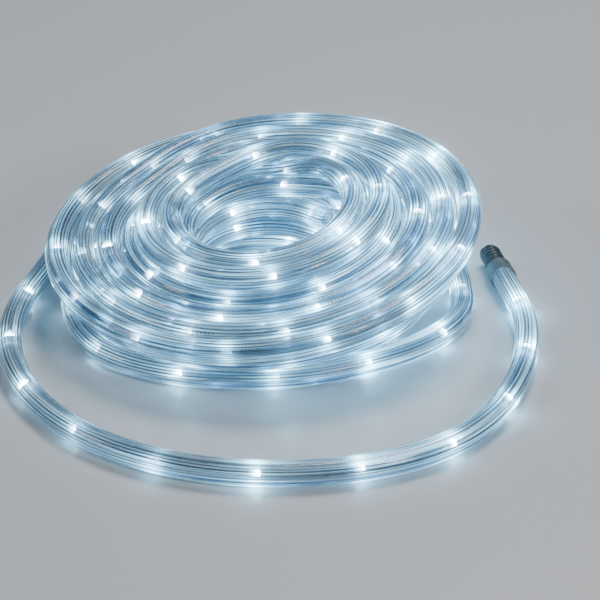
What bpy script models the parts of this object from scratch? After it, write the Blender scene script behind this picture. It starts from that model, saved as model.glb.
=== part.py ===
"""LED rope light, 10 mm across, wound in a coil with its tail laid round the front."""
import math

import bmesh
import bpy
from mathutils import Matrix, Vector

# Rope
ROPE_D = 0.010
TOUCH_GAP = 0.0003

# Wound coil's layers, in rope diameters: height, inner and outer turn's radius, turns, shift back,
# share of the lean
LAYERS = (
    (0.50, 3.85, 6.85, 4, 0.90, 0.00),
    (1.47, 3.35, 6.56, 4, 0.65, 0.40),
    (2.45, 3.20, 8.15, 6, 0.40, 0.65),
    (3.46, 3.35, 8.70, 6, 0.20, 0.85),
    (4.30, 3.88, 4.95, 2, 0.10, 1.00),
)
LEAN_X = 0.108
LEAN_Y = 0.110
SADDLE = 0.0025
FLAT_SIDE = 0.050
FLAT_AT = math.radians(138.0)
FLAT_WIDTH = math.radians(38.0)
RING_STEPS = 48
ARC_CLEAR = math.radians(30.0)
ARC_STEP = math.radians(30.0)

# Loose lowest turn, as angle in degrees and radius round the coil's foot, in rope diameters
LOOSE_TURN = (
    (96, 8.00), (126, 8.00), (156, 8.02), (181, 8.12), (196, 8.25), (208, 8.52), (221, 8.80),
    (233, 8.67), (245, 8.42), (258, 8.12), (272, 8.00), (286, 8.00), (299, 8.06), (313, 8.36),
    (327, 8.72), (340, 8.86), (350, 8.60), (363, 8.40), (380, 8.62), (400, 9.00), (421, 9.14),
    (446, 9.14), (471, 9.14), (496, 9.16), (515, 9.30), (526, 9.40), (536, 9.52),
)

# Tail round the front
TAIL_CENTRE = (0.3, -3.0)
TAIL_HALF_X = 10.65
TAIL_HALF_Y = 10.85
TAIL_FROM = 168.0
TAIL_TO = 377.0
TAIL_BULGE = 0.051
TAIL_BULGE_AT = 309.0
TAIL_BULGE_WIDTH = 24.6
TAIL_END_RUN = 1.1
RUN_POINTS = 78

# Sleeve and screw connector on the tail's end
SLEEVE_BORE_R = ROPE_D / 2 + TOUCH_GAP
SLEEVE_WALL = 0.0003
SLEEVE_R = SLEEVE_BORE_R + SLEEVE_WALL
SLEEVE_LENGTH = 0.0086
SLEEVE_OVER_ROPE = 0.0040
STEM_R = SLEEVE_BORE_R - TOUCH_GAP
CORE_R = 0.0039
THREAD_R = 0.0046
THREAD_PITCH = 0.0025
THREAD_COUNT = 6
COLLAR_LENGTH = 0.0008
SOCKET_R = 0.0030
SOCKET_DEPTH = 0.0070
PIN_R = 0.0006
PIN_HOLE_R = PIN_R + TOUCH_GAP
PIN_SPACING = 0.0028
PIN_SEAT = 0.0030
PIN_REACH = 0.0050

# End cap on the rope's far end, which stands off the coil's outside behind
FAR_END_FROM = 94.0
FAR_END_TO = 62.0
FAR_END_HEIGHT = 2.85
FAR_END_GAP = 0.76
FAR_END_SPREAD = 0.15
CAP_BORE_R = ROPE_D / 2 + TOUCH_GAP
CAP_WALL = 0.0005
CAP_R = CAP_BORE_R + CAP_WALL
CAP_LENGTH = 0.0100
CAP_OVER_ROPE = 0.0070
CAP_ROUND = 0.0020
ROUND_STEPS = 32


def at_height(height, column):
    """A layer value read between the layers' heights."""
    if height <= LAYERS[0][0]:
        return LAYERS[0][column]
    for low, high in zip(LAYERS, LAYERS[1:]):
        if height <= high[0]:
            share = (height - low[0]) / (high[0] - low[0])
            return low[column] + (high[column] - low[column]) * share
    return LAYERS[-1][column]


def lean(radius, angle, height):
    """Place a point of the upright coil in the leaning one, all in rope diameters."""
    share = at_height(height, 5)
    away = math.remainder(angle - FLAT_AT, 2 * math.pi) / FLAT_WIDTH
    radius *= 1 - FLAT_SIDE * share * math.exp(-away * away)
    x = radius * math.cos(angle)
    y = radius * math.sin(angle)
    rise = LEAN_X * x + LEAN_Y * y + SADDLE * (x * x - y * y)
    return Vector((x, y + at_height(height, 4), height + share * rise))


def turn_radius(layer, turn):
    inner, outer, turns = LAYERS[layer][1:4]
    return inner + (outer - inner) * turn / (turns - 1)


def rim_turns():
    """The turns on the coil's outside, once round its section from the bottom inner one."""
    foot, *middle, under, top = LAYERS
    turns = [(turn_radius(0, turn), foot[0]) for turn in range(foot[3])]
    turns += [(layer[2], layer[0]) for layer in (*middle, under)]
    for turn in range(under[3] - 2, -1, -1):
        radius = turn_radius(len(LAYERS) - 2, turn)
        if radius > top[2]:
            turns.append((radius, under[0]))
    for turn in range(top[3] - 1, -1, -1):
        turns.append((turn_radius(len(LAYERS) - 1, turn), top[0]))
    turns += [(layer[1], layer[0]) for layer in (under, *reversed(middle))]
    return turns


def coil_section():
    """Scalloped outline of the coil's section, anticlockwise, in rope diameters."""
    turns = rim_turns()
    reach = 0.5 / math.cos(ARC_STEP / 2)
    outline = []
    for index, (radius, height) in enumerate(turns):
        back = turns[index - 1]
        ahead = turns[(index + 1) % len(turns)]
        start = math.atan2(back[1] - height, back[0] - radius) + ARC_CLEAR
        end = math.atan2(ahead[1] - height, ahead[0] - radius) - ARC_CLEAR
        while end <= start:
            end += 2 * math.pi
        step = math.ceil(start / ARC_STEP - 0.5)
        while (step + 0.5) * ARC_STEP <= end:
            angle = (step + 0.5) * ARC_STEP
            outline.append((radius + reach * math.cos(angle), height + reach * math.sin(angle)))
            step += 1
    return outline


def smooth_through(guide, per_span):
    """Points of a smooth curve that passes through every guide point."""
    points = []
    for index in range(len(guide) - 1):
        before = guide[max(0, index - 1)]
        start = guide[index]
        end = guide[index + 1]
        after = guide[min(len(guide) - 1, index + 2)]
        for step in range(per_span):
            t = step / per_span
            blend = (2 * start + (end - before) * t
                     + (2 * before - 5 * start + 4 * end - after) * t * t
                     + (3 * start - before - 3 * end + after) * t * t * t)
            points.append(blend / 2)
    points.append(guide[-1])
    return points


def spaced(points, count):
    """The same line with its points an even distance apart."""
    travelled = [0.0]
    for first, second in zip(points, points[1:]):
        travelled.append(travelled[-1] + (second - first).length)
    line = []
    at = 0
    for step in range(count):
        wanted = travelled[-1] * step / (count - 1)
        while at < len(points) - 2 and travelled[at + 1] < wanted:
            at += 1
        share = (wanted - travelled[at]) / (travelled[at + 1] - travelled[at])
        line.append(points[at].lerp(points[at + 1], min(1.0, share)))
    return line


def tail_point(degrees):
    away = (degrees - TAIL_BULGE_AT) / TAIL_BULGE_WIDTH
    swell = 1 + TAIL_BULGE * math.exp(-away * away)
    angle = math.radians(degrees)
    x = TAIL_CENTRE[0] + TAIL_HALF_X * swell * math.cos(angle)
    y = TAIL_CENTRE[1] + TAIL_HALF_Y * swell * math.sin(angle)
    return Vector((x, y, LAYERS[0][0]))


def loose_run():
    """Centre line of the loose lowest turn and the tail, in metres."""
    guide = []
    for degrees, radius in LOOSE_TURN:
        angle = math.radians(degrees)
        guide.append(lean(radius, angle, LAYERS[0][0]))
    steps = 16
    for step in range(steps + 1):
        guide.append(tail_point(TAIL_FROM + (TAIL_TO - TAIL_FROM) * step / steps))
    lifted = (SLEEVE_R + TOUCH_GAP / 2) / ROPE_D
    for point, share in zip(guide[-4:], (0.3, 0.8, 1.0, 1.0)):
        point.z += (lifted - LAYERS[0][0]) * share
    onward = (guide[-1] - guide[-2]).normalized()
    guide.append(guide[-1] + onward * TAIL_END_RUN)
    return [point * ROPE_D for point in spaced(smooth_through(guide, 8), RUN_POINTS)]


def far_end_run():
    """Centre line of the far end where it stands off the top outside turn, in metres."""
    outside = LAYERS[-2][2] + FAR_END_GAP
    points = []
    steps = 14
    for step in range(steps + 1):
        share = step / steps
        angle = math.radians(FAR_END_FROM + (FAR_END_TO - FAR_END_FROM) * share)
        points.append(lean(outside + FAR_END_SPREAD * share, angle, FAR_END_HEIGHT) * ROPE_D)
    return points


def material(name, colour, roughness, metallic=0.0):
    made = bpy.data.materials.new(name)
    made.use_nodes = True
    shader = made.node_tree.nodes["Principled BSDF"]
    shader.inputs["Base Color"].default_value = (*colour, 1.0)
    shader.inputs["Roughness"].default_value = roughness
    shader.inputs["Metallic"].default_value = metallic
    return made


def mesh_object(name, mesh_builder, look, place=None):
    shape = bmesh.new()
    mesh_builder(shape)
    if place is not None:
        bmesh.ops.transform(shape, matrix=place, verts=shape.verts)
    bmesh.ops.recalc_face_normals(shape, faces=shape.faces)
    data = bpy.data.meshes.new(name)
    shape.to_mesh(data)
    shape.free()
    data.materials.append(look)
    made = bpy.data.objects.new(name, data)
    bpy.context.scene.collection.objects.link(made)
    return made


def turned(shape, outline, steps):
    """Closed body of a section in (radius, height) turned round Z, open points on the axis."""
    rings = []
    for radius, height in outline:
        if radius == 0.0:
            rings.append([shape.verts.new((0.0, 0.0, height))])
            continue
        ring = []
        for step in range(steps):
            angle = 2 * math.pi * step / steps
            ring.append(shape.verts.new((radius * math.cos(angle), radius * math.sin(angle), height)))
        rings.append(ring)
    closed = outline[0][0] > 0.0 and outline[-1][0] > 0.0
    pairs = list(zip(rings, rings[1:]))
    if closed:
        pairs.append((rings[-1], rings[0]))
    for low, high in pairs:
        for step in range(steps):
            after = (step + 1) % steps
            corners = [low[step % len(low)], low[after % len(low)]]
            corners += [high[after % len(high)], high[step % len(high)]]
            unique = list(dict.fromkeys(corners))
            if len(unique) > 2:
                shape.faces.new(unique)


def coil_body(shape):
    section = coil_section()
    rings = []
    for step in range(RING_STEPS):
        angle = 2 * math.pi * step / RING_STEPS
        rings.append([shape.verts.new(lean(radius, angle, height) * ROPE_D) for radius, height in section])
    count = len(section)
    for step, ring in enumerate(rings):
        after = rings[(step + 1) % RING_STEPS]
        for index in range(count):
            ahead = (index + 1) % count
            shape.faces.new((ring[index], after[index], after[ahead], ring[ahead]))


def rope_object(name, points, look):
    data = bpy.data.curves.new(name, "CURVE")
    data.dimensions = "3D"
    data.bevel_depth = ROPE_D / 2
    data.bevel_resolution = 3
    data.use_fill_caps = True
    spline = data.splines.new("POLY")
    spline.points.add(len(points) - 1)
    for target, point in zip(spline.points, points):
        target.co = (point.x, point.y, point.z, 1.0)
    data.materials.append(look)
    made = bpy.data.objects.new(name, data)
    bpy.context.scene.collection.objects.link(made)
    return made


def along(origin, direction):
    """Matrix that lays a body turned round Z along a direction, its foot at origin."""
    turn = direction.to_track_quat("Z", "Y").to_matrix().to_4x4()
    return Matrix.Translation(origin) @ turn


def sleeve_body(shape):
    outline = (
        (SLEEVE_BORE_R, 0.0), (SLEEVE_R, 0.0), (SLEEVE_R, SLEEVE_LENGTH), (SLEEVE_BORE_R, SLEEVE_LENGTH),
    )
    turned(shape, outline, ROUND_STEPS)


def connector_body(shape):
    """Stem in the sleeve, collar, then thread ribs up to an open socket; foot of the stem at 0."""
    stem = SLEEVE_LENGTH - SLEEVE_OVER_ROPE - TOUCH_GAP
    outline = [(0.0, 0.0), (STEM_R, 0.0), (STEM_R, stem + COLLAR_LENGTH)]
    base = stem + COLLAR_LENGTH
    for rib in range(THREAD_COUNT):
        low = base + rib * THREAD_PITCH
        outline.append((CORE_R, low))
        outline.append((CORE_R, low + THREAD_PITCH * 0.30))
        outline.append((THREAD_R, low + THREAD_PITCH * 0.45))
        outline.append((THREAD_R, low + THREAD_PITCH * 0.80))
    tip = base + THREAD_COUNT * THREAD_PITCH
    outline.append((CORE_R, tip - THREAD_PITCH * 0.05))
    outline.append((CORE_R, tip))
    outline.append((SOCKET_R, tip))
    outline.append((SOCKET_R, tip - SOCKET_DEPTH))
    outline.append((0.0, tip - SOCKET_DEPTH))
    turned(shape, outline, ROUND_STEPS)


def pin_body(shape, radius, foot, length):
    rounding = radius * 0.4
    outline = (
        (0.0, foot), (radius, foot), (radius, foot + length - rounding),
        (radius - rounding, foot + length), (0.0, foot + length),
    )
    turned(shape, outline, 12)


def cap_body(shape):
    """Cup over the rope's end, its open mouth at 0 and its rounded end last."""
    outline = (
        (0.0, CAP_OVER_ROPE + TOUCH_GAP), (CAP_BORE_R, CAP_OVER_ROPE + TOUCH_GAP), (CAP_BORE_R, 0.0),
        (CAP_R, 0.0), (CAP_R, CAP_LENGTH - CAP_ROUND),
        (CAP_R - CAP_ROUND * 0.29, CAP_LENGTH - CAP_ROUND * 0.29),
        (CAP_R - CAP_ROUND, CAP_LENGTH), (0.0, CAP_LENGTH),
    )
    turned(shape, outline, ROUND_STEPS)


def cut_hole(body, place, side):
    """Blind hole in the socket's floor for one pin."""
    tip = connector_tip()
    cutter_shape = bmesh.new()
    low = tip - SOCKET_DEPTH - PIN_SEAT - TOUCH_GAP
    outline = ((0.0, low), (PIN_HOLE_R, low), (PIN_HOLE_R, tip - SOCKET_DEPTH / 2), (0.0, tip - SOCKET_DEPTH / 2))
    turned(cutter_shape, outline, 12)
    shift = Matrix.Translation((side * PIN_SPACING / 2, 0.0, 0.0))
    bmesh.ops.transform(cutter_shape, matrix=place @ shift, verts=cutter_shape.verts)
    bmesh.ops.recalc_face_normals(cutter_shape, faces=cutter_shape.faces)
    data = bpy.data.meshes.new("cutter")
    cutter_shape.to_mesh(data)
    cutter_shape.free()
    cutter = bpy.data.objects.new("cutter", data)
    bpy.context.scene.collection.objects.link(cutter)
    cut = body.modifiers.new("hole", "BOOLEAN")
    cut.operation = "DIFFERENCE"
    cut.solver = "EXACT"
    cut.object = cutter
    bpy.context.view_layer.update()
    evaluated = body.evaluated_get(bpy.context.evaluated_depsgraph_get())
    result = bpy.data.meshes.new_from_object(evaluated)
    body.modifiers.remove(cut)
    old = body.data
    body.data = result
    bpy.data.meshes.remove(old)
    bpy.data.objects.remove(cutter)


def connector_tip():
    stem = SLEEVE_LENGTH - SLEEVE_OVER_ROPE - TOUCH_GAP
    return stem + COLLAR_LENGTH + THREAD_COUNT * THREAD_PITCH


for old_object in list(bpy.data.objects):
    bpy.data.objects.remove(old_object)

clear_rope = material("clear_rope", (0.74, 0.82, 0.88), 0.25)
grey_sleeve = material("grey_sleeve", (0.42, 0.45, 0.47), 0.35)
black_plastic = material("black_plastic", (0.02, 0.02, 0.022), 0.35)
pin_metal = material("pin_metal", (0.78, 0.74, 0.62), 0.3, 1.0)
clear_cap = material("clear_cap", (0.80, 0.84, 0.86), 0.2)

mesh_object("rope_coil", coil_body, clear_rope)

run = loose_run()
rope_object("rope_loose_run", run, clear_rope)

tail_way = (run[-1] - run[-2]).normalized()
sleeve_place = along(run[-1] - tail_way * SLEEVE_OVER_ROPE, tail_way)
mesh_object("end_sleeve", sleeve_body, grey_sleeve, sleeve_place)

connector_place = along(run[-1] + tail_way * TOUCH_GAP, tail_way)
connector = mesh_object("screw_connector", connector_body, black_plastic, connector_place)
pin_foot = connector_tip() - SOCKET_DEPTH - PIN_SEAT
for pin_name, pin_side in (("contact_pin_a", 1), ("contact_pin_b", -1)):
    cut_hole(connector, connector_place, pin_side)
    pin_place = connector_place @ Matrix.Translation((pin_side * PIN_SPACING / 2, 0.0, 0.0))
    mesh_object(
        pin_name,
        lambda shape: pin_body(shape, PIN_R, pin_foot, PIN_SEAT + PIN_REACH),
        pin_metal,
        pin_place,
    )

far_end = far_end_run()
rope_object("rope_far_end", far_end, clear_rope)
cap_way = (far_end[-1] - far_end[-2]).normalized()
cap_place = along(far_end[-1] - cap_way * CAP_OVER_ROPE, cap_way)
mesh_object("end_cap", cap_body, clear_cap, cap_place)

bpy.context.view_layer.update()
corners = [thing.matrix_world @ Vector(corner) for thing in bpy.data.objects for corner in thing.bound_box]
middle_x = (min(corner.x for corner in corners) + max(corner.x for corner in corners)) / 2
middle_y = (min(corner.y for corner in corners) + max(corner.y for corner in corners)) / 2
for thing in bpy.data.objects:
    thing.location -= Vector((middle_x, middle_y, 0.0))
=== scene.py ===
"""LED rope light, wound in a leaning coil with its tail laid round the front to a screw connector."""
import functools
import math
import random

import bmesh
import bpy
from mathutils import Matrix, Vector


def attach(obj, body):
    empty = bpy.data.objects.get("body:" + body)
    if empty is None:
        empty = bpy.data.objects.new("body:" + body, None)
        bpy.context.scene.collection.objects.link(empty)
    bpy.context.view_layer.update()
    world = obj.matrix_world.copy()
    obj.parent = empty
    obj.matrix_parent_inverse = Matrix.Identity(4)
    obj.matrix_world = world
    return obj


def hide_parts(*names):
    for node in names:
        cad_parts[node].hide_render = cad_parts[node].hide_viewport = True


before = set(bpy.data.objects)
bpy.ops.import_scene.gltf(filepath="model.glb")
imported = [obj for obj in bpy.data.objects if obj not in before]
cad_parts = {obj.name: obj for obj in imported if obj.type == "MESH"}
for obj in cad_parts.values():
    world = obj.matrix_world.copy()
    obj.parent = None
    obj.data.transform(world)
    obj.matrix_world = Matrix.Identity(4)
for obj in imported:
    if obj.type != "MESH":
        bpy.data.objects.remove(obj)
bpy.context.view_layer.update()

# Camera at the photograph's angle, about 30 degrees above the floor and 0.9 m away on a long lens.
# It looks at a spot on the floor just right of the coil's own axis.
coil_axis = Vector((-0.00304, 0.019348, 0.0))
right_of_axis = 0.016
camera_rise = math.radians(29.5)
camera_distance = 0.90
look_at = coil_axis + Vector((right_of_axis, 0.0, 0.0))
camera_data = bpy.data.cameras.new("camera")
camera_data.sensor_width = 36.0
camera_data.lens = 126.4
camera_data.clip_start = 0.01
camera = bpy.data.objects.new("camera", camera_data)
camera_back = Vector((0.0, -math.cos(camera_rise), math.sin(camera_rise)))
camera.location = look_at + camera_back * camera_distance
camera.rotation_euler = camera_back.to_track_quat("Z", "Y").to_euler()
bpy.context.scene.collection.objects.link(camera)
bpy.context.scene.camera = camera

# Rope jacket: one extrusion of clear PVC 10 mm across, ribbed lengthwise outside and solid round its
# LEDs. It is wound in five layers that lean to the left and front. Its outermost turn comes off
# behind to the end cap, and the foot runs on as a loose turn and the tail to the plug.
rope_d = 0.010

# each layer from the floor up, in rope widths: its middle's height, the radii of its inner and outer
# turns, how many turns it has, how far back it sits, and its share of the coil's lean
foot = dict(height=0.50, inner=3.85, outer=6.85, turns=4, back=0.90, lean=0.00)
second = dict(height=1.47, inner=3.35, outer=6.56, turns=4, back=0.65, lean=0.40)
third = dict(height=2.45, inner=3.20, outer=8.15, turns=6, back=0.40, lean=0.65)
fourth = dict(height=3.46, inner=3.35, outer=8.70, turns=6, back=0.20, lean=0.85)
top = dict(height=4.30, inner=3.88, outer=4.95, turns=2, back=0.10, lean=1.00)
layers = (foot, second, third, fourth, top)

# rise of the leaning coil for each rope width to the right and to the back, and its saddle
lean_x, lean_y, saddle = 0.108, 0.110, 0.0025
# the coil's left back side is a little flatter than round
flat_side, flat_at, flat_width = 0.050, math.radians(138.0), math.radians(38.0)

# angles in degrees where a turn starts to leave its seat, and how far it goes on while it does; a
# turn that goes down a layer drops sooner than it moves in or out
leaves_behind, leaves_right, leaves_foot = 95.0, -5.0, 40.0
jog_sweep = 50.0
drop_ahead = 1.35
angle_step = 2.5

# the loose turn's angles in degrees and radii in rope widths
loose_turn = (
    (96, 8.00), (126, 8.00), (156, 8.02), (181, 8.12), (196, 8.25), (208, 8.52), (221, 8.80),
    (233, 8.67), (245, 8.42), (258, 8.12), (272, 8.00), (286, 8.00), (299, 8.06), (313, 8.36),
    (327, 8.72), (340, 8.86), (350, 8.60), (363, 8.40), (380, 8.62), (400, 9.00), (421, 9.14),
    (446, 9.14), (471, 9.14), (496, 9.16), (515, 9.30), (526, 9.40), (536, 9.52),
)

# the tail's ellipse and its bulge, in rope widths and degrees, and the straight run before the plug
tail_centre, tail_half_x, tail_half_y = (0.3, -3.0), 10.65, 10.85
tail_from, tail_to, tail_steps, tail_end_run = 168.0, 377.0, 16, 1.1
tail_bulge, tail_bulge_at, tail_bulge_width = 0.051, 309.0, 24.6
plug_height = 0.575
rise_to_plug = (0.3, 0.8, 1.0, 1.0)
points_per_span = 8

# the far end, laid against the coil's outside
far_end_from, far_end_to = 94.0, 62.0
far_end_radius, far_end_spread, far_end_height = 9.46, 0.15, 2.85
route_step = 0.0045
kink_rounds = 4


def at_height(height, what):
    """A layer's place back or share of the lean at any height, in a straight line between layers."""
    if height <= foot["height"]:
        return foot[what]
    for low, high in zip(layers, layers[1:]):
        if height <= high["height"]:
            share = (height - low["height"]) / (high["height"] - low["height"])
            return low[what] + (high[what] - low[what]) * share
    return top[what]


def lean(radius, degrees, height):
    """A point of the coil in rope widths, from its place before the coil leaned."""
    angle = math.radians(degrees)
    share = at_height(height, "lean")
    away = math.remainder(angle - flat_at, 2 * math.pi) / flat_width
    radius *= 1 - flat_side * share * math.exp(-away * away)
    x = radius * math.cos(angle)
    y = radius * math.sin(angle)
    rise = lean_x * x + lean_y * y + saddle * (x * x - y * y)
    return Vector((x, y + at_height(height, "back"), height + share * rise))


def wound_turns():
    """Each turn as it is wound: radius, height, and the angle where it starts to leave its seat."""
    seats = [(fourth, turn, leaves_behind) for turn in (5, 4, 3, 2)]
    seats += [(top, 1, 70.0), (top, 0, 45.0), (fourth, 1, 20.0), (fourth, 0, leaves_right)]
    seats += [(third, turn, leaves_right) for turn in range(6)]
    seats += [(second, turn, leaves_right) for turn in (3, 2, 1, 0)]
    seats += [(foot, turn, leaves_right) for turn in range(3)]
    seats += [(foot, 3, leaves_foot)]
    turns = [(far_end_radius, far_end_height, leaves_behind)]
    for layer, turn, leaves in seats:
        radius = layer["inner"] + (layer["outer"] - layer["inner"]) * turn / (layer["turns"] - 1)
        turns.append((radius, layer["height"], leaves))
    return turns + [(loose_turn[0][1], foot["height"], None)]


def ease(share):
    share = min(1.0, max(0.0, share))
    return share * share * (3 - 2 * share)


def wound_route():
    """The coil's turns as one line, from the end cap to the foot of the coil."""
    points = []
    angle = far_end_to
    while angle < far_end_from:
        spread = far_end_spread * (far_end_from - angle) / (far_end_from - far_end_to)
        points.append(lean(far_end_radius + spread, angle, far_end_height))
        angle += angle_step
    turns = wound_turns()
    for index, (turn, onward) in enumerate(zip(turns, turns[1:])):
        radius, height, leaves = turn
        start = 360.0 * index + leaves
        sweep = jog_sweep if index < len(turns) - 2 else loose_turn[0][0] - leaves
        while angle < start + sweep - angle_step / 2:
            share = (angle - start) / sweep
            drop = ease(share * drop_ahead) if onward[1] < height else ease(share)
            radius_here = radius + (onward[0] - radius) * ease(share)
            points.append(lean(radius_here, angle, height + (onward[1] - height) * drop))
            angle += angle_step
    return points


def smooth_through(guide, per_span):
    """Catmull-Rom curve through the guide points."""
    points = []
    for index in range(len(guide) - 1):
        before = guide[max(0, index - 1)]
        start = guide[index]
        end = guide[index + 1]
        after = guide[min(len(guide) - 1, index + 2)]
        for step in range(per_span):
            t = step / per_span
            blend = (2 * start + (end - before) * t
                     + (2 * before - 5 * start + 4 * end - after) * t * t
                     + (3 * start - before - 3 * end + after) * t * t * t)
            points.append(blend / 2)
    points.append(guide[-1])
    return points


def loose_route():
    """The loose lowest turn and the tail, from the coil's foot to the plug."""
    guide = [lean(radius, degrees, foot["height"]) for degrees, radius in loose_turn]
    for step in range(tail_steps + 1):
        degrees = tail_from + (tail_to - tail_from) * step / tail_steps
        away = (degrees - tail_bulge_at) / tail_bulge_width
        swell = 1 + tail_bulge * math.exp(-away * away)
        x = tail_centre[0] + tail_half_x * swell * math.cos(math.radians(degrees))
        y = tail_centre[1] + tail_half_y * swell * math.sin(math.radians(degrees))
        guide.append(Vector((x, y, foot["height"])))
    for point, share in zip(guide[-len(rise_to_plug):], rise_to_plug):
        point.z += (plug_height - foot["height"]) * share
    onward = (guide[-1] - guide[-2]).normalized()
    guide.append(guide[-1] + onward * tail_end_run)
    return smooth_through(guide, points_per_span)


def lengths_along(points):
    """How far along the line each of its points lies."""
    reached = [0.0]
    for first, second_point in zip(points, points[1:]):
        reached.append(reached[-1] + (second_point - first).length)
    return reached


def spaced(points, step_length):
    """The same line with its points an even distance apart."""
    reached = lengths_along(points)
    count = round(reached[-1] / step_length) + 1
    line = []
    at = 0
    for step in range(count):
        wanted = reached[-1] * step / (count - 1)
        while at < len(points) - 2 and reached[at + 1] < wanted:
            at += 1
        share = (wanted - reached[at]) / (reached[at + 1] - reached[at])
        line.append(points[at].lerp(points[at + 1], min(1.0, share)))
    return line


def softened(points, rounds):
    """Eases the kinks where one curve runs into the next; the two ends stay."""
    for _ in range(rounds):
        eased = points[:2]
        for before, here, after in zip(points[1:], points[2:], points[3:]):
            eased.append(here * 0.5 + (before + after) * 0.25)
        points = eased + points[-1:]
    return points


route = [coil_axis + point * rope_d for point in wound_route() + loose_route()]
route = softened(spaced(route, route_step), kink_rounds)
reached = lengths_along(route)
rope_length = reached[-1]


def rope_frames(points):
    """Way along, way out of the coil and way up at each point of the rope."""
    frames = []
    for index in range(len(points)):
        ahead = points[min(len(points) - 1, index + 1)]
        behind = points[max(0, index - 1)]
        along_way = (ahead - behind).normalized()
        outward = along_way.cross(Vector((0, 0, 1))).normalized()
        frames.append((along_way, outward, outward.cross(along_way)))
    return frames


def drawn_tube(name, points, radius, ring_points):
    """Closed tube along a line, drawn as a bevelled curve and turned into a mesh."""
    line = bpy.data.curves.new(name, "CURVE")
    line.dimensions = "3D"
    line.bevel_depth = radius
    line.bevel_resolution = ring_points // 2 - 2
    spline = line.splines.new("POLY")
    spline.points.add(len(points) - 1)
    for target, point in zip(spline.points, points):
        target.co = (*point, 1.0)
    drawn = bpy.data.objects.new(name, line)
    bpy.context.scene.collection.objects.link(drawn)
    bpy.context.view_layer.update()
    graph = bpy.context.evaluated_depsgraph_get()
    mesh = bpy.data.meshes.new_from_object(drawn.evaluated_get(graph))
    bpy.data.objects.remove(drawn)
    bpy.data.curves.remove(line)
    tube = bmesh.new()
    tube.from_mesh(mesh)
    bmesh.ops.holes_fill(tube, edges=tube.edges, sides=0)
    bmesh.ops.recalc_face_normals(tube, faces=tube.faces)
    for face in tube.faces:
        face.smooth = True
    tube.to_mesh(mesh)
    tube.free()
    mesh.name = name
    mesh.materials.clear()
    made = bpy.data.objects.new(name, mesh)
    bpy.context.scene.collection.objects.link(made)
    return made


# every second line of the jacket's mesh is sunk as the valley between two ribs, and each point keeps
# how far it faces out of the coil and up, and its way from the plug
rib_count = 22
rib_depth = 0.00025
ring_points = rib_count * 2
frames = rope_frames(route)
jacket = drawn_tube("rope_jacket", route, rope_d / 2, ring_points)
jacket.data.attributes.new("way", "FLOAT_VECTOR", "POINT")
jacket.data.attributes.new("valley", "FLOAT", "POINT")
way = jacket.data.attributes["way"]
valley = jacket.data.attributes["valley"]
for vertex in jacket.data.vertices:
    ring, step = divmod(vertex.index, ring_points)
    out = (vertex.co - route[ring]).normalized()
    if step % 2:
        vertex.co -= out * rib_depth
        valley.data[vertex.index].value = 1.0
    _, outward, up = frames[ring]
    way.data[vertex.index].vector = (out.dot(outward), out.dot(up), rope_length - reached[ring])


def new_material(name):
    """A new material made of nodes, and its shader."""
    material = bpy.data.materials.new(name)
    material.use_nodes = True
    return material, material.node_tree.nodes["Principled BSDF"]


def add_node(material, kind, **settings):
    """A new node with its settings."""
    made = material.node_tree.nodes.new(kind)
    for name, value in settings.items():
        setattr(made, name, value)
    return made


def feed(material, socket, source):
    """Links a node's output to a socket, or sets the socket to a plain value."""
    if isinstance(source, bpy.types.NodeSocket):
        material.node_tree.links.new(source, socket)
    else:
        socket.default_value = source


def reckon(material, operation, *values, clamp=False):
    """Output of a Math node on sockets or plain numbers."""
    made = add_node(material, "ShaderNodeMath", operation=operation, use_clamp=clamp)
    for socket, value in zip(made.inputs, values):
        feed(material, socket, value)
    return made.outputs[0]


def noise(material, place, scale, detail):
    """Noise at a place, stretched by a scale for each axis."""
    stretch = add_node(material, "ShaderNodeMapping")
    feed(material, stretch.inputs["Vector"], place)
    stretch.inputs["Scale"].default_value = scale
    made = add_node(material, "ShaderNodeTexNoise")
    feed(material, made.inputs["Vector"], stretch.outputs["Vector"])
    made.inputs["Scale"].default_value = 1.0
    made.inputs["Detail"].default_value = detail
    return made.outputs["Fac"]


def ramp(material, source, *stops):
    """Colour ramp of (place, colour) stops."""
    made = add_node(material, "ShaderNodeValToRGB")
    feed(material, made.inputs["Fac"], source)
    band = made.color_ramp.elements
    while len(band) < len(stops):
        band.new(1.0)
    for element, (place, colour) in zip(band, stops):
        element.position = place
        element.color = (*colour, 1.0)
    return made.outputs["Color"]


def blended(material, share, first, other):
    """First colour turning into the other one as the share goes from 0 to 1."""
    made = add_node(material, "ShaderNodeMix", data_type="RGBA")
    feed(material, made.inputs["Factor"], share)
    feed(material, made.inputs["A"], first)
    feed(material, made.inputs["B"], other)
    return made.outputs["Result"]


def raise_surface(material, height, depth, strength=1.0):
    """Bump from a height, on the material's shader."""
    bump = add_node(material, "ShaderNodeBump")
    bump.inputs["Strength"].default_value = strength
    bump.inputs["Distance"].default_value = depth
    feed(material, bump.inputs["Height"], height)
    feed(material, material.node_tree.nodes["Principled BSDF"].inputs["Normal"], bump.outputs["Normal"])


clear_pvc, shader = new_material("clear_ribbed_pvc")
shader.inputs["IOR"].default_value = 1.46
shader.inputs["Transmission Weight"].default_value = 0.72
# emission colour of the jacket's painted glow
shader.inputs["Emission Color"].default_value = (0.30, 0.75, 1.0, 1.0)
pvc_math = functools.partial(reckon, clear_pvc)
way_read = add_node(clear_pvc, "ShaderNodeAttribute", attribute_name="way").outputs["Vector"]
way_parts = add_node(clear_pvc, "ShaderNodeSeparateXYZ")
feed(clear_pvc, way_parts.inputs[0], way_read)
out_share, up_share, from_plug = way_parts.outputs
in_valley = add_node(clear_pvc, "ShaderNodeAttribute", attribute_name="valley").outputs["Fac"]
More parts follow.
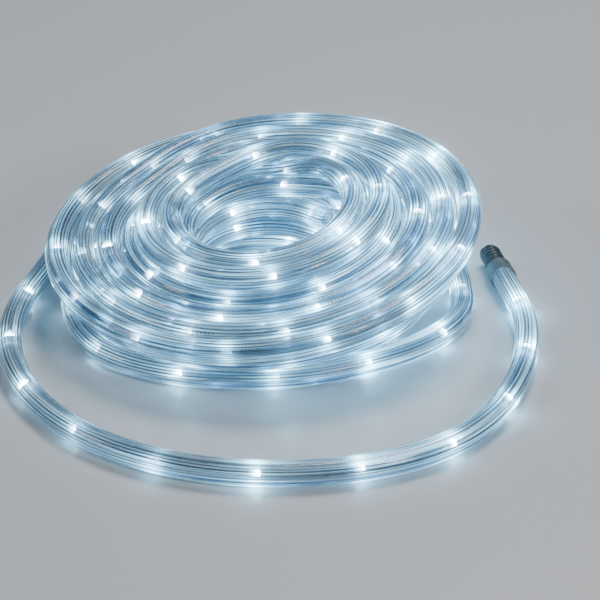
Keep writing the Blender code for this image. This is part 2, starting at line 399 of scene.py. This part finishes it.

# streaks that run along the ribs, with painted highlights in their bright stops and painted shade in their
# dark stops and in the rib valleys; bluer and greyer by stretches
streak_scale, haze_scale = (9.0, 9.0, 7.0), (1.2, 1.2, 14.0)
valley_shade = 0.18
grey_gain, grey_cut = 5.0, -2.4
streaks = noise(clear_pvc, way_read, streak_scale, 3.0)
# painted shade: the valleys between the ribs are darkened
painted_valley_shade = pvc_math("MULTIPLY_ADD", in_valley, -valley_shade, valley_shade / 2)
streaks = pvc_math("ADD", streaks, painted_valley_shade)
haze = noise(clear_pvc, way_read, haze_scale, 2.0)
blue_colour = ramp(clear_pvc, streaks, (0.37, (0.035, 0.062, 0.155)), (0.51, (0.27, 0.475, 0.71)),
                   (0.63, (0.70, 0.95, 1.0)))
grey_colour = ramp(clear_pvc, streaks, (0.38, (0.095, 0.105, 0.145)), (0.51, (0.49, 0.555, 0.635)),
                   (0.63, (0.84, 0.98, 1.0)))
grey_share = pvc_math("MULTIPLY_ADD", haze, grey_gain, grey_cut, clamp=True)
body_colour = blended(clear_pvc, grey_share, blue_colour, grey_colour)

# dark printed dashes every half metre, where the rope may be cut, on its upper outer side
mark_pitch = 0.500
first_mark = 0.411
mark_half = 0.0036
dash_wave = 4200.0
dash_cut = -0.1
mark_faces_out, mark_faces_up, mark_edge = 0.80, 0.60, 0.993
ink_colour = (0.09, 0.07, 0.06, 1.0)
from_mark = pvc_math("PINGPONG", pvc_math("SUBTRACT", from_plug, first_mark), mark_pitch / 2)
in_mark = pvc_math("LESS_THAN", from_mark, mark_half)
dashes = pvc_math("SINE", pvc_math("MULTIPLY", from_plug, dash_wave))
dashes = pvc_math("GREATER_THAN", dashes, dash_cut)
facing_up = pvc_math("MULTIPLY", up_share, mark_faces_up)
facing = pvc_math("ADD", pvc_math("MULTIPLY", out_share, mark_faces_out), facing_up)
on_face = pvc_math("GREATER_THAN", facing, mark_edge)
printed = pvc_math("MULTIPLY", pvc_math("MULTIPLY", in_mark, dashes), on_face)
feed(clear_pvc, shader.inputs["Base Color"], blended(clear_pvc, printed, body_colour, ink_colour))

# painted glow: the jacket's own emission stands in for the light each LED throws along the rope, some more
# towards the plug and some more away from it, in pitches of the LEDs, and for a bright spot over each LED;
# there is none before the first one
led_pitch = 0.0385
first_led = 0.0272
least_throw, throw_range = 0.06, 0.20
most_throw = least_throw + throw_range
spot_width, spot_gain = 0.075, 1.7
before_first = -0.5
faint_glow = 0.05
led_count = pvc_math("DIVIDE", pvc_math("SUBTRACT", from_plug, first_led), led_pitch)
led_before = pvc_math("FLOOR", led_count)
past_led = pvc_math("FRACT", led_count)
led_after = pvc_math("ADD", led_before, 1.0)
short_of_led = pvc_math("SUBTRACT", 1.0, past_led)
painted_glow = faint_glow
for led_number, off_led, throw_from, throw_gain in (
    (led_before, past_led, least_throw, throw_range),
    (led_after, short_of_led, most_throw, -throw_range),
):
    chance = add_node(clear_pvc, "ShaderNodeTexWhiteNoise", noise_dimensions="1D")
    feed(clear_pvc, chance.inputs["W"], led_number)
    throw = pvc_math("MULTIPLY_ADD", chance.outputs["Value"], throw_gain, throw_from)
    spill = pvc_math("EXPONENT", pvc_math("MULTIPLY", pvc_math("DIVIDE", off_led, throw), -1.0))
    spill = pvc_math("MULTIPLY", spill, pvc_math("GREATER_THAN", led_number, before_first))
    spot = pvc_math("POWER", pvc_math("DIVIDE", off_led, spot_width), 2.0)
    spot = pvc_math("EXPONENT", pvc_math("MULTIPLY", spot, -1.0))
    painted_glow = pvc_math("ADD", painted_glow, spill)
    painted_glow = pvc_math("ADD", painted_glow, pvc_math("MULTIPLY", spot, spot_gain))

# the painted glow gathers in the bright streaks and in painted patches of light, stops at the print, and is
# painted a little stronger on the coil's right
lit_gain, lit_cut, lit_power = 7.0, -3.1, 1.6
streak_glow, dull_glow = 2.8, 0.04
patch_scale = (1.5, 1.5, 24.0)
patch_gain, patch_cut = 5.0, -2.0
patch_glow, gap_glow = 1.7, 0.07
glow_to_right, glow_at_middle = 5.5, 0.92
lit_streaks = pvc_math("MULTIPLY_ADD", streaks, lit_gain, lit_cut, clamp=True)
lit_streaks = pvc_math("POWER", lit_streaks, lit_power)
lit_streaks = pvc_math("MULTIPLY_ADD", lit_streaks, streak_glow, dull_glow)
patches = noise(clear_pvc, way_read, patch_scale, 1.0)
patches = pvc_math("MULTIPLY_ADD", patches, patch_gain, patch_cut, clamp=True)
painted_glow = pvc_math("MULTIPLY", painted_glow, pvc_math("MULTIPLY_ADD", patches, patch_glow, gap_glow))
painted_glow = pvc_math("MULTIPLY", painted_glow, lit_streaks)
painted_glow = pvc_math("MULTIPLY", painted_glow, pvc_math("SUBTRACT", 1.0, printed))
# painted light: the glow is made stronger towards the coil's right side
across = add_node(clear_pvc, "ShaderNodeSeparateXYZ")
feed(clear_pvc, across.inputs[0], add_node(clear_pvc, "ShaderNodeTexCoord").outputs["Object"])
painted_right_light = pvc_math("MULTIPLY_ADD", across.outputs["X"], glow_to_right, glow_at_middle)
painted_glow = pvc_math("MULTIPLY", painted_glow, painted_right_light)
feed(clear_pvc, shader.inputs["Emission Strength"], painted_glow)
feed(clear_pvc, shader.inputs["Roughness"], pvc_math("MULTIPLY_ADD", haze, 0.20, 0.01))
raise_surface(clear_pvc, streaks, 0.0003, 0.4)
jacket.data.materials.append(clear_pvc)
rope_nodes = ("rope_coil", "rope_loose_run", "rope_far_end")
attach(jacket, "root")
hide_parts(*rope_nodes)

# Feed conductors: two tinned copper strands moulded into the rope on either side of the LEDs. They
# carry the mains-side current along its whole length and stop just short of both ends.
feed_wire_r = 0.00035
feed_wire_apart = 0.0046
wire_sides = 6
wire_reach = slice(2, -1, 2)


def grain_in(material, per_metre, detail):
    """Noise at the piece's own place, as fine in every direction."""
    own_place = add_node(material, "ShaderNodeTexCoord").outputs["Object"]
    return noise(material, own_place, (per_metre, per_metre, per_metre), detail)


tinned_copper, shader = new_material("tinned_copper_strand")
shader.inputs["Metallic"].default_value = 0.9
tarnish = grain_in(tinned_copper, 300.0, 2.0)
feed(tinned_copper, shader.inputs["Base Color"],
     ramp(tinned_copper, tarnish, (0.35, (0.20, 0.19, 0.19)), (0.65, (0.46, 0.45, 0.44))))
feed(tinned_copper, shader.inputs["Roughness"], reckon(tinned_copper, "MULTIPLY_ADD", tarnish, 0.3, 0.25))
for wire_name, side in (("feed_wire_out", 0.5), ("feed_wire_in", -0.5)):
    strand = [point + outward * side * feed_wire_apart for point, (_, outward, _) in zip(route, frames)]
    wire = drawn_tube(wire_name, strand[wire_reach], feed_wire_r, wire_sides)
    wire.data.materials.append(tinned_copper)
    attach(wire, "root")
    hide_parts(*rope_nodes)

# LED string: small white LEDs in the rope's core, one every 38.5 mm, each on its side and facing
# the plug. One thin lead wire runs through them all and is soldered to their legs.
led_r = 0.0009
led_length = 0.0042
dome_share = 0.8
dimmest, brightest = 0.15, 1.0
string_ends_short = 0.012
lead_wire_r = 0.00022
led_shape = bmesh.new()
bmesh.ops.create_cone(led_shape, cap_ends=True, segments=8, radius1=led_r, radius2=led_r, depth=led_length)
dome_edges = [edge for edge in led_shape.edges if all(vertex.co.z > 0 for vertex in edge.verts)]
bmesh.ops.bevel(led_shape, geom=dome_edges, offset=led_r * dome_share, offset_type="OFFSET",
                affect="EDGES", segments=2, profile=0.5, material=-1)
led_part = bpy.data.meshes.new("led")
led_shape.to_mesh(led_part)
led_shape.free()
string_shape = bmesh.new()
lit = string_shape.verts.layers.float.new("lit")
index = len(route) - 2
from_end = first_led
binning = random.Random(5)
while from_end < rope_length - string_ends_short:
    while reached[index] > rope_length - from_end:
        index -= 1
    share = (rope_length - from_end - reached[index]) / (reached[index + 1] - reached[index])
    place = route[index].lerp(route[index + 1], share)
    along_way, outward, up = frames[index]
    turn = Matrix((outward, -up, along_way)).transposed().to_4x4()
    before = len(string_shape.verts)
    string_shape.from_mesh(led_part)
    string_shape.verts.ensure_lookup_table()
    added = string_shape.verts[before:]
    brightness = binning.uniform(dimmest, brightest)
    for vertex in added:
        vertex[lit] = (0.5 + vertex.co.z / led_length) * brightness
    bmesh.ops.transform(string_shape, matrix=Matrix.Translation(place) @ turn, verts=added)
    from_end += led_pitch
bpy.data.meshes.remove(led_part)
string_mesh = bpy.data.meshes.new("led_string")
for face in string_shape.faces:
    face.smooth = True
string_shape.to_mesh(string_mesh)
string_shape.free()
led_string = bpy.data.objects.new("led_string", string_mesh)
bpy.context.scene.collection.objects.link(led_string)

lit_lens, shader = new_material("lit_led_lens")
shader.inputs["Roughness"].default_value = 0.25
lit_read = add_node(lit_lens, "ShaderNodeAttribute", attribute_name="lit").outputs["Fac"]
feed(lit_lens, shader.inputs["Base Color"],
     ramp(lit_lens, lit_read, (0.0, (0.55, 0.60, 0.62)), (0.4, (0.95, 0.97, 1.0))))
feed(lit_lens, shader.inputs["Emission Color"],
     ramp(lit_lens, lit_read, (0.0, (0.60, 0.85, 1.0)), (0.7, (0.80, 0.97, 1.0))))
lens_glow = reckon(lit_lens, "POWER", lit_read, 2.0)
feed(lit_lens, shader.inputs["Emission Strength"], reckon(lit_lens, "MULTIPLY_ADD", lens_glow, 75.0, 1.5))
string_mesh.materials.append(lit_lens)

lead_wire = drawn_tube("led_lead_wire", route[wire_reach], lead_wire_r, wire_sides)
lead_wire.data.materials.append(tinned_copper)
for piece in (led_string, lead_wire):
    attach(piece, "root")
    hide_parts(*rope_nodes)

# Sleeve: grey heat-shrink tube over the joint of the rope and the connector's stem. Shrinking leaves
# it snug, a little wavy and rolled at both mouths.
plug_way = (route[-1] - route[-2]).normalized()
sleeve_bore_r = 0.0053
sleeve_wall = 0.0003
sleeve_length = 0.0086
sleeve_over_rope = 0.0040
sleeve_waves = 9
steps_per_wave = 4
wave_height = 0.00004
lip_height = 0.00006
lip_fade = 30
mouth_bevel = 0.0001
rope_mouth_round, plug_mouth_round = 0.0004, 0.0003
round_steps = 48


def spun(name, place, outline):
    """Closed body turned round its own Z from an outline of (radius, height), at a place."""
    shape = bmesh.new()
    ring = [shape.verts.new((radius, 0.0, height)) for radius, height in outline]
    edges = [shape.edges.new(pair) for pair in zip(ring, ring[1:])]
    if outline[0][0] > 0.0:
        edges.append(shape.edges.new((ring[-1], ring[0])))
    bmesh.ops.spin(shape, geom=ring + edges, cent=(0, 0, 0), axis=(0, 0, 1), angle=2 * math.pi,
                   steps=round_steps, use_merge=True)
    bmesh.ops.remove_doubles(shape, verts=shape.verts, dist=1e-6)
    bmesh.ops.recalc_face_normals(shape, faces=shape.faces)
    bmesh.ops.transform(shape, matrix=place, verts=shape.verts)
    for face in shape.faces:
        face.smooth = True
    mesh = bpy.data.meshes.new(name)
    shape.to_mesh(mesh)
    shape.free()
    made = bpy.data.objects.new(name, mesh)
    bpy.context.scene.collection.objects.link(made)
    return made


def laid_along(foot_place, direction):
    return Matrix.Translation(foot_place) @ direction.to_track_quat("Z", "Y").to_matrix().to_4x4()


sleeve_outline = [(sleeve_bore_r, rope_mouth_round), (sleeve_bore_r + mouth_bevel, mouth_bevel)]
for step in range(sleeve_waves * steps_per_wave + 1):
    share = step / (sleeve_waves * steps_per_wave)
    wave = wave_height * math.cos(share * sleeve_waves * 2 * math.pi)
    lip = lip_height * (math.exp(-share * lip_fade) + math.exp(-(1 - share) * lip_fade))
    radius = sleeve_bore_r + sleeve_wall - mouth_bevel + wave + lip
    sleeve_outline.append((radius, mouth_bevel + share * (sleeve_length - mouth_bevel * 2)))
sleeve_outline.append((sleeve_bore_r + mouth_bevel, sleeve_length))
sleeve_outline.append((sleeve_bore_r, sleeve_length - plug_mouth_round))
sleeve_place = laid_along(route[-1] - plug_way * sleeve_over_rope, plug_way)
sleeve = spun("shrink_sleeve", sleeve_place, sleeve_outline)

grey_shrink, shader = new_material("grey_shrink_tube")
shader.inputs["Transmission Weight"].default_value = 0.25
mottle = grain_in(grey_shrink, 420.0, 4.0)
feed(grey_shrink, shader.inputs["Base Color"],
     ramp(grey_shrink, mottle, (0.30, (0.06, 0.065, 0.075)), (0.70, (0.17, 0.18, 0.195))))
feed(grey_shrink, shader.inputs["Roughness"], reckon(grey_shrink, "MULTIPLY_ADD", mottle, 0.35, 0.22))
raise_surface(grey_shrink, mottle, 0.0002, 0.5)
sleeve.data.materials.append(grey_shrink)
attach(sleeve, "root")
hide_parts("end_sleeve")

# Screw connector: one moulding of black plastic, its stem glued in the sleeve. A collar stops it
# there, a screw thread takes the feed lead's nut, and its open socket holds two contact pins.
joint_gap = 0.0003
stem_r = 0.0050
stem_length = sleeve_length - sleeve_over_rope - joint_gap
collar_length = 0.0008
core_r = 0.0039
thread_r = 0.0046
thread_pitch = 0.0025
thread_count = 6
thread_runout = 0.9
thread_steps = 120
socket_r = 0.0030
socket_depth = 0.0070
edge_round = 0.0003
edge_shoulder = edge_round * 0.3
core_fillet = 0.0001
socket_lip = 0.0002
thread_foot = stem_length + collar_length
connector_tip = thread_foot + thread_count * thread_pitch
connector_place = laid_along(route[-1] + plug_way * joint_gap, plug_way)
connector_outline = (
    (0.0, 0.0), (stem_r - edge_round, 0.0), (stem_r, edge_round),
    (stem_r, thread_foot - edge_round), (stem_r - edge_shoulder, thread_foot - edge_shoulder),
    (stem_r - edge_round, thread_foot), (core_r + core_fillet, thread_foot),
    (core_r, thread_foot + core_fillet),
    (core_r, connector_tip - edge_round), (core_r - edge_shoulder, connector_tip - edge_shoulder),
    (core_r - edge_round, connector_tip), (socket_r + socket_lip, connector_tip),
    (socket_r, connector_tip - socket_lip), (socket_r, connector_tip - socket_depth),
    (0.0, connector_tip - socket_depth),
)
connector = spun("screw_connector_body", connector_place, connector_outline)

# the thread's section as (radius, height), its root sunk in the core, wound up in a helix
tooth = (
    (core_r - 0.0002, 0.0002), (thread_r - 0.0002, 0.0008), (thread_r, 0.0011), (thread_r, 0.0016),
    (thread_r - 0.0002, 0.0019), (core_r - 0.0002, 0.0024),
)
thread_shape = bmesh.new()
corners = [thread_shape.verts.new((radius, 0.0, thread_foot + height)) for radius, height in tooth]
edges = [thread_shape.edges.new((corners[at - 1], corners[at])) for at in range(len(corners))]
turns_of_thread = thread_count - thread_runout
bmesh.ops.spin(thread_shape, geom=corners + edges, cent=(0, 0, 0), axis=(0, 0, 1),
               dvec=(0, 0, thread_pitch * turns_of_thread / thread_steps),
               angle=2 * math.pi * turns_of_thread, steps=thread_steps)
bmesh.ops.holes_fill(thread_shape, edges=thread_shape.edges, sides=0)
bmesh.ops.recalc_face_normals(thread_shape, faces=thread_shape.faces)
bmesh.ops.transform(thread_shape, matrix=connector_place, verts=thread_shape.verts)
for face in thread_shape.faces:
    face.smooth = True
thread_shape.from_mesh(connector.data)
thread_shape.to_mesh(connector.data)
thread_shape.free()

black_moulding, shader = new_material("black_moulded_plastic")
grain = grain_in(black_moulding, 2600.0, 3.0)
scuffs = grain_in(black_moulding, 500.0, 5.0)
feed(black_moulding, shader.inputs["Base Color"],
     ramp(black_moulding, scuffs, (0.35, (0.006, 0.006, 0.008)), (0.75, (0.026, 0.027, 0.030))))
feed(black_moulding, shader.inputs["Roughness"], reckon(black_moulding, "MULTIPLY_ADD", scuffs, 0.35, 0.12))
raise_surface(black_moulding, grain, 0.00005, 0.5)
connector.data.materials.append(black_moulding)
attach(connector, "root")
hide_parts("screw_connector")

# Contact pins: two turned pins of plated brass, pressed into the socket's floor. They are the CAD's
# own pins with a worn bright finish.
plated_brass, shader = new_material("plated_brass")
shader.inputs["Metallic"].default_value = 1.0
wear = grain_in(plated_brass, 900.0, 3.0)
feed(plated_brass, shader.inputs["Base Color"],
     ramp(plated_brass, wear, (0.35, (0.58, 0.50, 0.34)), (0.70, (0.82, 0.79, 0.70))))
feed(plated_brass, shader.inputs["Roughness"], reckon(plated_brass, "MULTIPLY_ADD", wear, 0.3, 0.15))
pins = [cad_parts[name] for name in ("contact_pin_a", "contact_pin_b")]
for pin in pins:
    pin.data.materials.clear()
    pin.data.materials.append(plated_brass)

# End cap: a clear PVC cup glued over the rope's far end, with a rounded closed end and a rolled
# mouth.
cap_bore_r = 0.0053
cap_r = 0.0058
cap_length = 0.0100
cap_over_rope = 0.0070
cap_round = 0.0022
cap_round_steps = 6
bead_inset = 0.0001
cap_way = (route[0] - route[1]).normalized()
cap_outline = [
    (0.0, cap_over_rope + joint_gap), (cap_bore_r - 0.0004, cap_over_rope + joint_gap),
    (cap_bore_r, cap_over_rope - 0.0001), (cap_bore_r, 0.0003), (cap_bore_r + bead_inset, 0.0),
    (cap_r - bead_inset, 0.0), (cap_r, 0.0002), (cap_r, 0.0008), (cap_r - bead_inset, 0.0010),
]
for step in range(cap_round_steps + 1):
    angle = math.pi / 2 * step / cap_round_steps
    cap_outline.append((cap_r - bead_inset - cap_round * (1 - math.cos(angle)),
                        cap_length - cap_round * (1 - math.sin(angle))))
cap_outline.append((0.0, cap_length))
cap = spun("clear_end_cap", laid_along(route[0] - cap_way * cap_over_rope, cap_way), cap_outline)

clear_cap, shader = new_material("clear_moulded_cap")
shader.inputs["IOR"].default_value = 1.48
shader.inputs["Transmission Weight"].default_value = 0.8
cloud = grain_in(clear_cap, 350.0, 3.0)
feed(clear_cap, shader.inputs["Base Color"],
     ramp(clear_cap, cloud, (0.35, (0.66, 0.76, 0.82)), (0.65, (0.90, 0.94, 0.96))))
feed(clear_cap, shader.inputs["Roughness"], reckon(clear_cap, "MULTIPLY_ADD", cloud, 0.25, 0.06))
raise_surface(clear_cap, cloud, 0.0002, 0.3)
cap.data.materials.append(clear_cap)
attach(cap, "root")
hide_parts("end_cap")

# Floor and light: a plain pale floor that runs out of view, a big soft light above, a weaker one in
# front at the right, a faint one at the left, and a dim bluish room.
floor_half = 4.0
floor_shape = bmesh.new()
bmesh.ops.create_grid(floor_shape, x_segments=1, y_segments=1, size=floor_half)
floor_mesh = bpy.data.meshes.new("floor")
floor_shape.to_mesh(floor_mesh)
floor_shape.free()
floor = bpy.data.objects.new("floor", floor_mesh)
bpy.context.scene.collection.objects.link(floor)
pale_floor, shader = new_material("pale_floor")
shader.inputs["Base Color"].default_value = (0.62, 0.64, 0.67, 1.0)
shader.inputs["Roughness"].default_value = 0.30
floor_mesh.materials.append(pale_floor)

for light_name, place, size, power in (
    ("top_light", (0.3, 0.5, 1.2), 0.5, 11.5),
    ("front_light", (0.8, -0.9, 0.7), 0.3, 7.0),
    ("side_light", (-0.9, -0.2, 0.6), 0.3, 2.5),
):
    light_data = bpy.data.lights.new(light_name, "AREA")
    light_data.size = size
    light_data.energy = power
    light = bpy.data.objects.new(light_name, light_data)
    light.location = place
    light.rotation_euler = Vector(place).to_track_quat("Z", "Y").to_euler()
    bpy.context.scene.collection.objects.link(light)

room = bpy.data.worlds.new("room")
room.use_nodes = True
room.node_tree.nodes["Background"].inputs["Color"].default_value = (0.72, 0.82, 0.95, 1.0)
room.node_tree.nodes["Background"].inputs["Strength"].default_value = 0.07
bpy.context.scene.world = room

# Bloom: the lens's own soft flare round each lit LED. It is laid on the finished picture only, and
# no piece or material takes part in it.
bpy.context.scene.use_nodes = True
picture = bpy.context.scene.node_tree
bloom = picture.nodes.new("CompositorNodeGlare")
bloom.glare_type = "BLOOM"
bloom.inputs["Threshold"].default_value = 1.3
bloom.inputs["Strength"].default_value = 0.5
bloom.inputs["Size"].default_value = 0.45
bloom.inputs["Saturation"].default_value = 1.0
picture.links.new(picture.nodes["Render Layers"].outputs["Image"], bloom.inputs["Image"])
picture.links.new(bloom.outputs["Image"], picture.nodes["Composite"].inputs["Image"])
